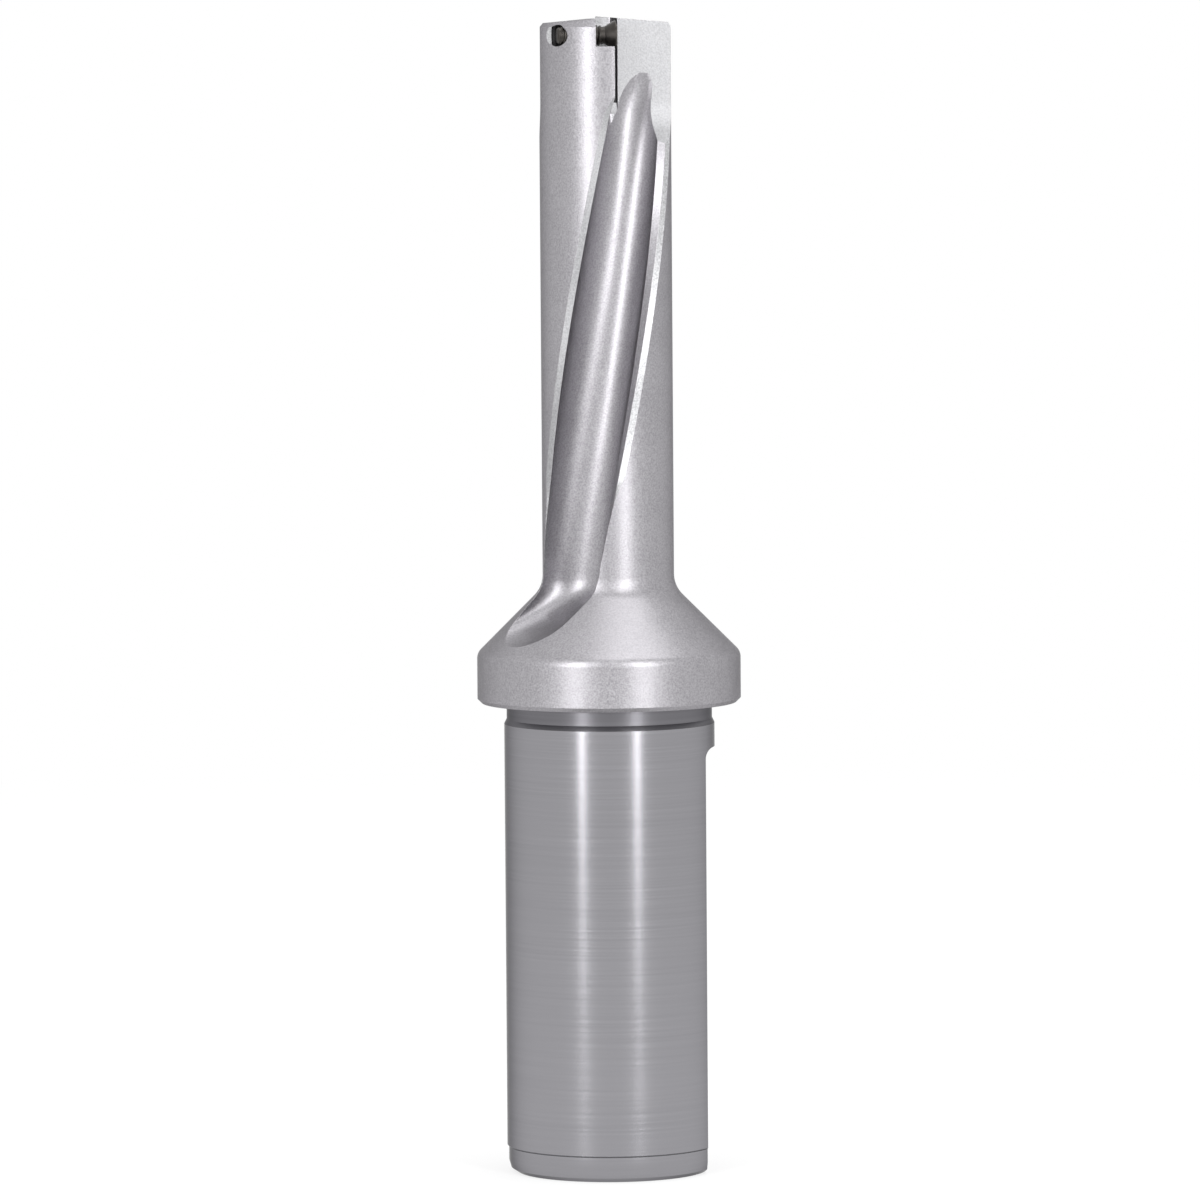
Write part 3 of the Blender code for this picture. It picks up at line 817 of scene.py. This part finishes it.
def thread_tree():
    """Geometry Nodes that wind a thread round a core: a flat-topped profile is swept
    along a right-handed spiral and fades into the core at both ends."""
    tree = bpy.data.node_groups.new("rolled_thread", "GeometryNodeTree")
    sockets = tree.interface
    sockets.new_socket("Geometry", in_out="INPUT", socket_type="NodeSocketGeometry")
    for name in ("Start Height", "Length", "Crest Radius", "Depth", "Root", "Pitch"):
        sockets.new_socket(name, in_out="INPUT", socket_type="NodeSocketFloat")
    sockets.new_socket("Finish", in_out="INPUT", socket_type="NodeSocketMaterial")
    sockets.new_socket("Geometry", in_out="OUTPUT", socket_type="NodeSocketGeometry")
    given = add(tree, "NodeGroupInput").outputs

    def maths(operation, first, second):
        return add(tree, "ShaderNodeMath", {0: first, 1: second}, operation=operation).outputs[0]

    turns = maths("DIVIDE", given["Length"], given["Pitch"])
    rise = maths("ADD", given["Depth"], given["Root"])
    middle = maths("SUBTRACT", given["Crest Radius"], maths("MULTIPLY", rise, 0.5))
    spiral = add(
        tree,
        "GeometryNodeCurveSpiral",
        {
            "Resolution": THREAD_STEPS,
            "Rotations": turns,
            "Start Radius": middle,
            "End Radius": middle,
            "Height": given["Length"],
        },
    )
    level = add(tree, "GeometryNodeSetCurveNormal", {"Curve": spiral.outputs[0]}, mode="Z_UP")
    along = add(tree, "GeometryNodeSplineParameter").outputs["Factor"]
    near_end = maths("MINIMUM", along, maths("SUBTRACT", 1, along))
    fade = maths("MINIMUM", maths("MULTIPLY", near_end, turns), 1)
    profile = add(
        tree,
        "GeometryNodeCurvePrimitiveQuadrilateral",
        {
            "Bottom Width": maths("MULTIPLY", given["Pitch"], THREAD_FOOT_SHARE),
            "Top Width": maths("DIVIDE", given["Pitch"], 8),
            "Height": rise,
            "Offset": 0,
        },
        mode="TRAPEZOID",
    )
    ridge = add(
        tree,
        "GeometryNodeCurveToMesh",
        {
            "Curve": level.outputs[0],
            "Profile Curve": profile.outputs[0],
            "Scale": fade,
            "Fill Caps": True,
        },
    )
    lift = add(tree, "ShaderNodeCombineXYZ", {"Z": given["Start Height"]})
    placed = add(
        tree,
        "GeometryNodeTransform",
        {"Geometry": ridge.outputs["Mesh"], "Translation": lift.outputs[0]},
    )
    joined = add(tree, "GeometryNodeJoinGeometry", {"Geometry": placed.outputs[0]})
    tree.links.new(given["Geometry"], joined.inputs["Geometry"])
    real = add(tree, "GeometryNodeRealizeInstances", {"Geometry": joined.outputs[0]})
    dressed = add(
        tree,
        "GeometryNodeSetMaterial",
        {"Geometry": real.outputs[0], "Material": given["Finish"]},
    )
    add(tree, "NodeGroupOutput", {"Geometry": dressed.outputs[0]})
    return tree


def grown(name, base, tree, values):
    """The plain mesh that a Geometry Nodes tree makes of a base object."""
    modifier = base.modifiers.new(tree.name, "NODES")
    modifier.node_group = tree
    for item in tree.interface.items_tree:
        if item.name in values and item.in_out == "INPUT":
            modifier[item.identifier] = values[item.name]
    mesh = bpy.data.meshes.new_from_object(
        base.evaluated_get(bpy.context.evaluated_depsgraph_get())
    )
    bpy.data.objects.remove(base)
    mesh.name = name
    made = bpy.data.objects.new(name, mesh)
    bpy.context.collection.objects.link(made)
    return made


def blackened_steel():
    """Black-oxide alloy steel: nearly black, with a soft oily sheen and the faint
    mottling of the dip, about 0.5 mm across."""
    made, tree, shader, place = bare_metal("blackened_alloy_steel", 0.8, "#FFFFFF")
    film = add(tree, "ShaderNodeTexNoise", {"Vector": place, "Scale": 1 / 0.0005, "Detail": 3})
    colour = add(
        tree,
        "ShaderNodeMix",
        {0: film.outputs["Fac"], 6: linear("#302E2C"), 7: linear("#4A4643")},
        data_type="RGBA",
    )
    tree.links.new(colour.outputs[2], shader.inputs["Base Color"])
    shader.inputs["Roughness"].default_value = 0.32
    return made


screw_finish = blackened_steel()
thread = thread_tree()
for side, (reach, turn) in SEATS.items():
    screw_low = SCREW_STANDOFF - SCREW_LENGTH + SCREW_END_CHAMFER
    thread_values = {
        "Start Height": screw_low,
        "Length": SCREW_LENGTH - SCREW_HEAD_HEIGHT - SCREW_END_CHAMFER - THREAD_PITCH / 2,
        "Crest Radius": SCREW_RADIUS,
        "Depth": THREAD_DEPTH,
        "Root": THREAD_ROOT,
        "Pitch": THREAD_PITCH,
        "Finish": screw_finish,
    }
    screw = grown(f"black_{side}_screw", screw_core("screw_core"), thread, thread_values)
    screw.data.transform(seat_frame(reach, turn))
    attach(screw, "root")
    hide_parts(f"{side}_insert_screw")

# The studio: a pale floor under a white surround, one tall soft box on each side of the
# camera and a wide soft light overhead. The camera has a long lens.
PHOTO_WIDTH = 1200
PIXELS_PER_METRE = 8421
CAMERA_AZIMUTH = math.radians(-98.5)
CAMERA_DISTANCE = 1.087
CAMERA_HEIGHT = 0.15
AIM_HEIGHT = 0.0681
AIM_LEFT = 0.00101
CAMERA_ROLL = math.radians(0.4)
STRIP_AZIMUTH = math.radians(30)
STRIP_DISTANCE = 0.9
STRIP_LOW = -0.3
STRIP_HIGH = 0.9
STRIP_WIDTH = 0.1
STRIP_POWER = 5.5
OVERHEAD_SIZE = 0.7
OVERHEAD_POWER = 2.9
OVERHEAD_PLACE = (0.2, 0.04, 1.15)
FLOOR_REACH = 4
SENSOR_WIDTH = 36

camera_data = bpy.data.cameras.new("camera")
camera = bpy.data.objects.new("camera", camera_data)
bpy.context.collection.objects.link(camera)
towards = Vector((math.cos(CAMERA_AZIMUTH), math.sin(CAMERA_AZIMUTH), 0))
right = Vector((-towards.y, towards.x, 0))
camera.location = towards * CAMERA_DISTANCE + Vector((0, 0, CAMERA_HEIGHT))
aim = Vector((0, 0, AIM_HEIGHT)) - right * AIM_LEFT
gaze = aim - camera.location
camera.rotation_mode = "QUATERNION"
camera.rotation_quaternion = gaze.to_track_quat("-Z", "Y")
camera.rotation_quaternion @= Matrix.Rotation(-CAMERA_ROLL, 3, "Z").to_quaternion()
camera_data.sensor_width = SENSOR_WIDTH
camera_data.lens = SENSOR_WIDTH * PIXELS_PER_METRE * gaze.length / PHOTO_WIDTH
camera_data.clip_start = 0.1
camera_data.clip_end = 20
bpy.context.scene.camera = camera


def soft_box(name, azimuth):
    """A tall soft light that faces the drill's axis."""
    data = bpy.data.lights.new(name, "AREA")
    data.shape = "RECTANGLE"
    data.size = STRIP_WIDTH
    data.size_y = STRIP_HIGH - STRIP_LOW
    data.energy = STRIP_POWER
    lamp = bpy.data.objects.new(name, data)
    bpy.context.collection.objects.link(lamp)
    angle = CAMERA_AZIMUTH + azimuth
    out = Vector((math.cos(angle), math.sin(angle), 0))
    lamp.location = out * STRIP_DISTANCE + Vector((0, 0, (STRIP_LOW + STRIP_HIGH) / 2))
    lamp.rotation_mode = "QUATERNION"
    lamp.rotation_quaternion = (-out).to_track_quat("-Z", "Y")


soft_box("left_strip", -STRIP_AZIMUTH)
soft_box("right_strip", STRIP_AZIMUTH)

overhead_data = bpy.data.lights.new("overhead", "AREA")
overhead_data.size = OVERHEAD_SIZE
overhead_data.energy = OVERHEAD_POWER
overhead = bpy.data.objects.new("overhead", overhead_data)
bpy.context.collection.objects.link(overhead)
overhead.location = OVERHEAD_PLACE

floor_shape = bmesh.new()
corners = [(-1, -1), (1, -1), (1, 1), (-1, 1)]
floor_points = [(x * FLOOR_REACH, y * FLOOR_REACH, 0) for x, y in corners]
floor_shape.faces.new([floor_shape.verts.new(point) for point in floor_points])
floor = solid("floor", floor_shape)


def white_floor():
    """Matt white paper: near the drill it keeps the shadow, and seen directly or in the
    metal most of its tone is plain white, all of it beyond half a metre."""
    made = bpy.data.materials.new("white_paper")
    made.use_nodes = True
    tree = made.node_tree
    shader = tree.nodes["Principled BSDF"]
    output = tree.nodes["Material Output"]
    shader.inputs["Base Color"].default_value = linear("#F4F4F4")
    shader.inputs["Roughness"].default_value = 0.9
    ray = add(tree, "ShaderNodeLightPath")
    seen = add(
        tree,
        "ShaderNodeMath",
        {0: ray.outputs["Is Camera Ray"], 1: ray.outputs["Is Glossy Ray"]},
        operation="MAXIMUM",
    )
    seen = add(
        tree,
        "ShaderNodeMath",
        {0: seen.outputs[0], 1: ray.outputs["Is Transmission Ray"]},
        operation="MAXIMUM",
    )
    place = add(tree, "ShaderNodeTexCoord").outputs["Object"]
    far = add(tree, "ShaderNodeVectorMath", {0: place}, operation="LENGTH")
    plain = add(
        tree,
        "ShaderNodeMapRange",
        {
            "Value": far.outputs["Value"],
            "From Min": 0.1,
            "From Max": 0.5,
            "To Min": 0.75,
            "To Max": 1,
        },
    )
    share = add(
        tree,
        "ShaderNodeMath",
        {0: seen.outputs[0], 1: plain.outputs["Result"]},
        operation="MULTIPLY",
    )
    white = add(tree, "ShaderNodeEmission", {"Color": (1, 1, 1, 1), "Strength": 1})
    mixed = add(
        tree,
        "ShaderNodeMixShader",
        {0: share.outputs[0], 1: shader.outputs["BSDF"], 2: white.outputs["Emission"]},
    )
    tree.links.new(mixed.outputs["Shader"], output.inputs["Surface"])
    return made


floor.data.materials.append(white_floor())

world = bpy.data.worlds.new("studio")
world.use_nodes = True
bpy.context.scene.world = world
sky = world.node_tree.nodes["Background"]
sky.inputs["Color"].default_value = (1, 1, 1, 1)
sky.inputs["Strength"].default_value = 1
bpy.context.scene.view_settings.view_transform = "Standard"
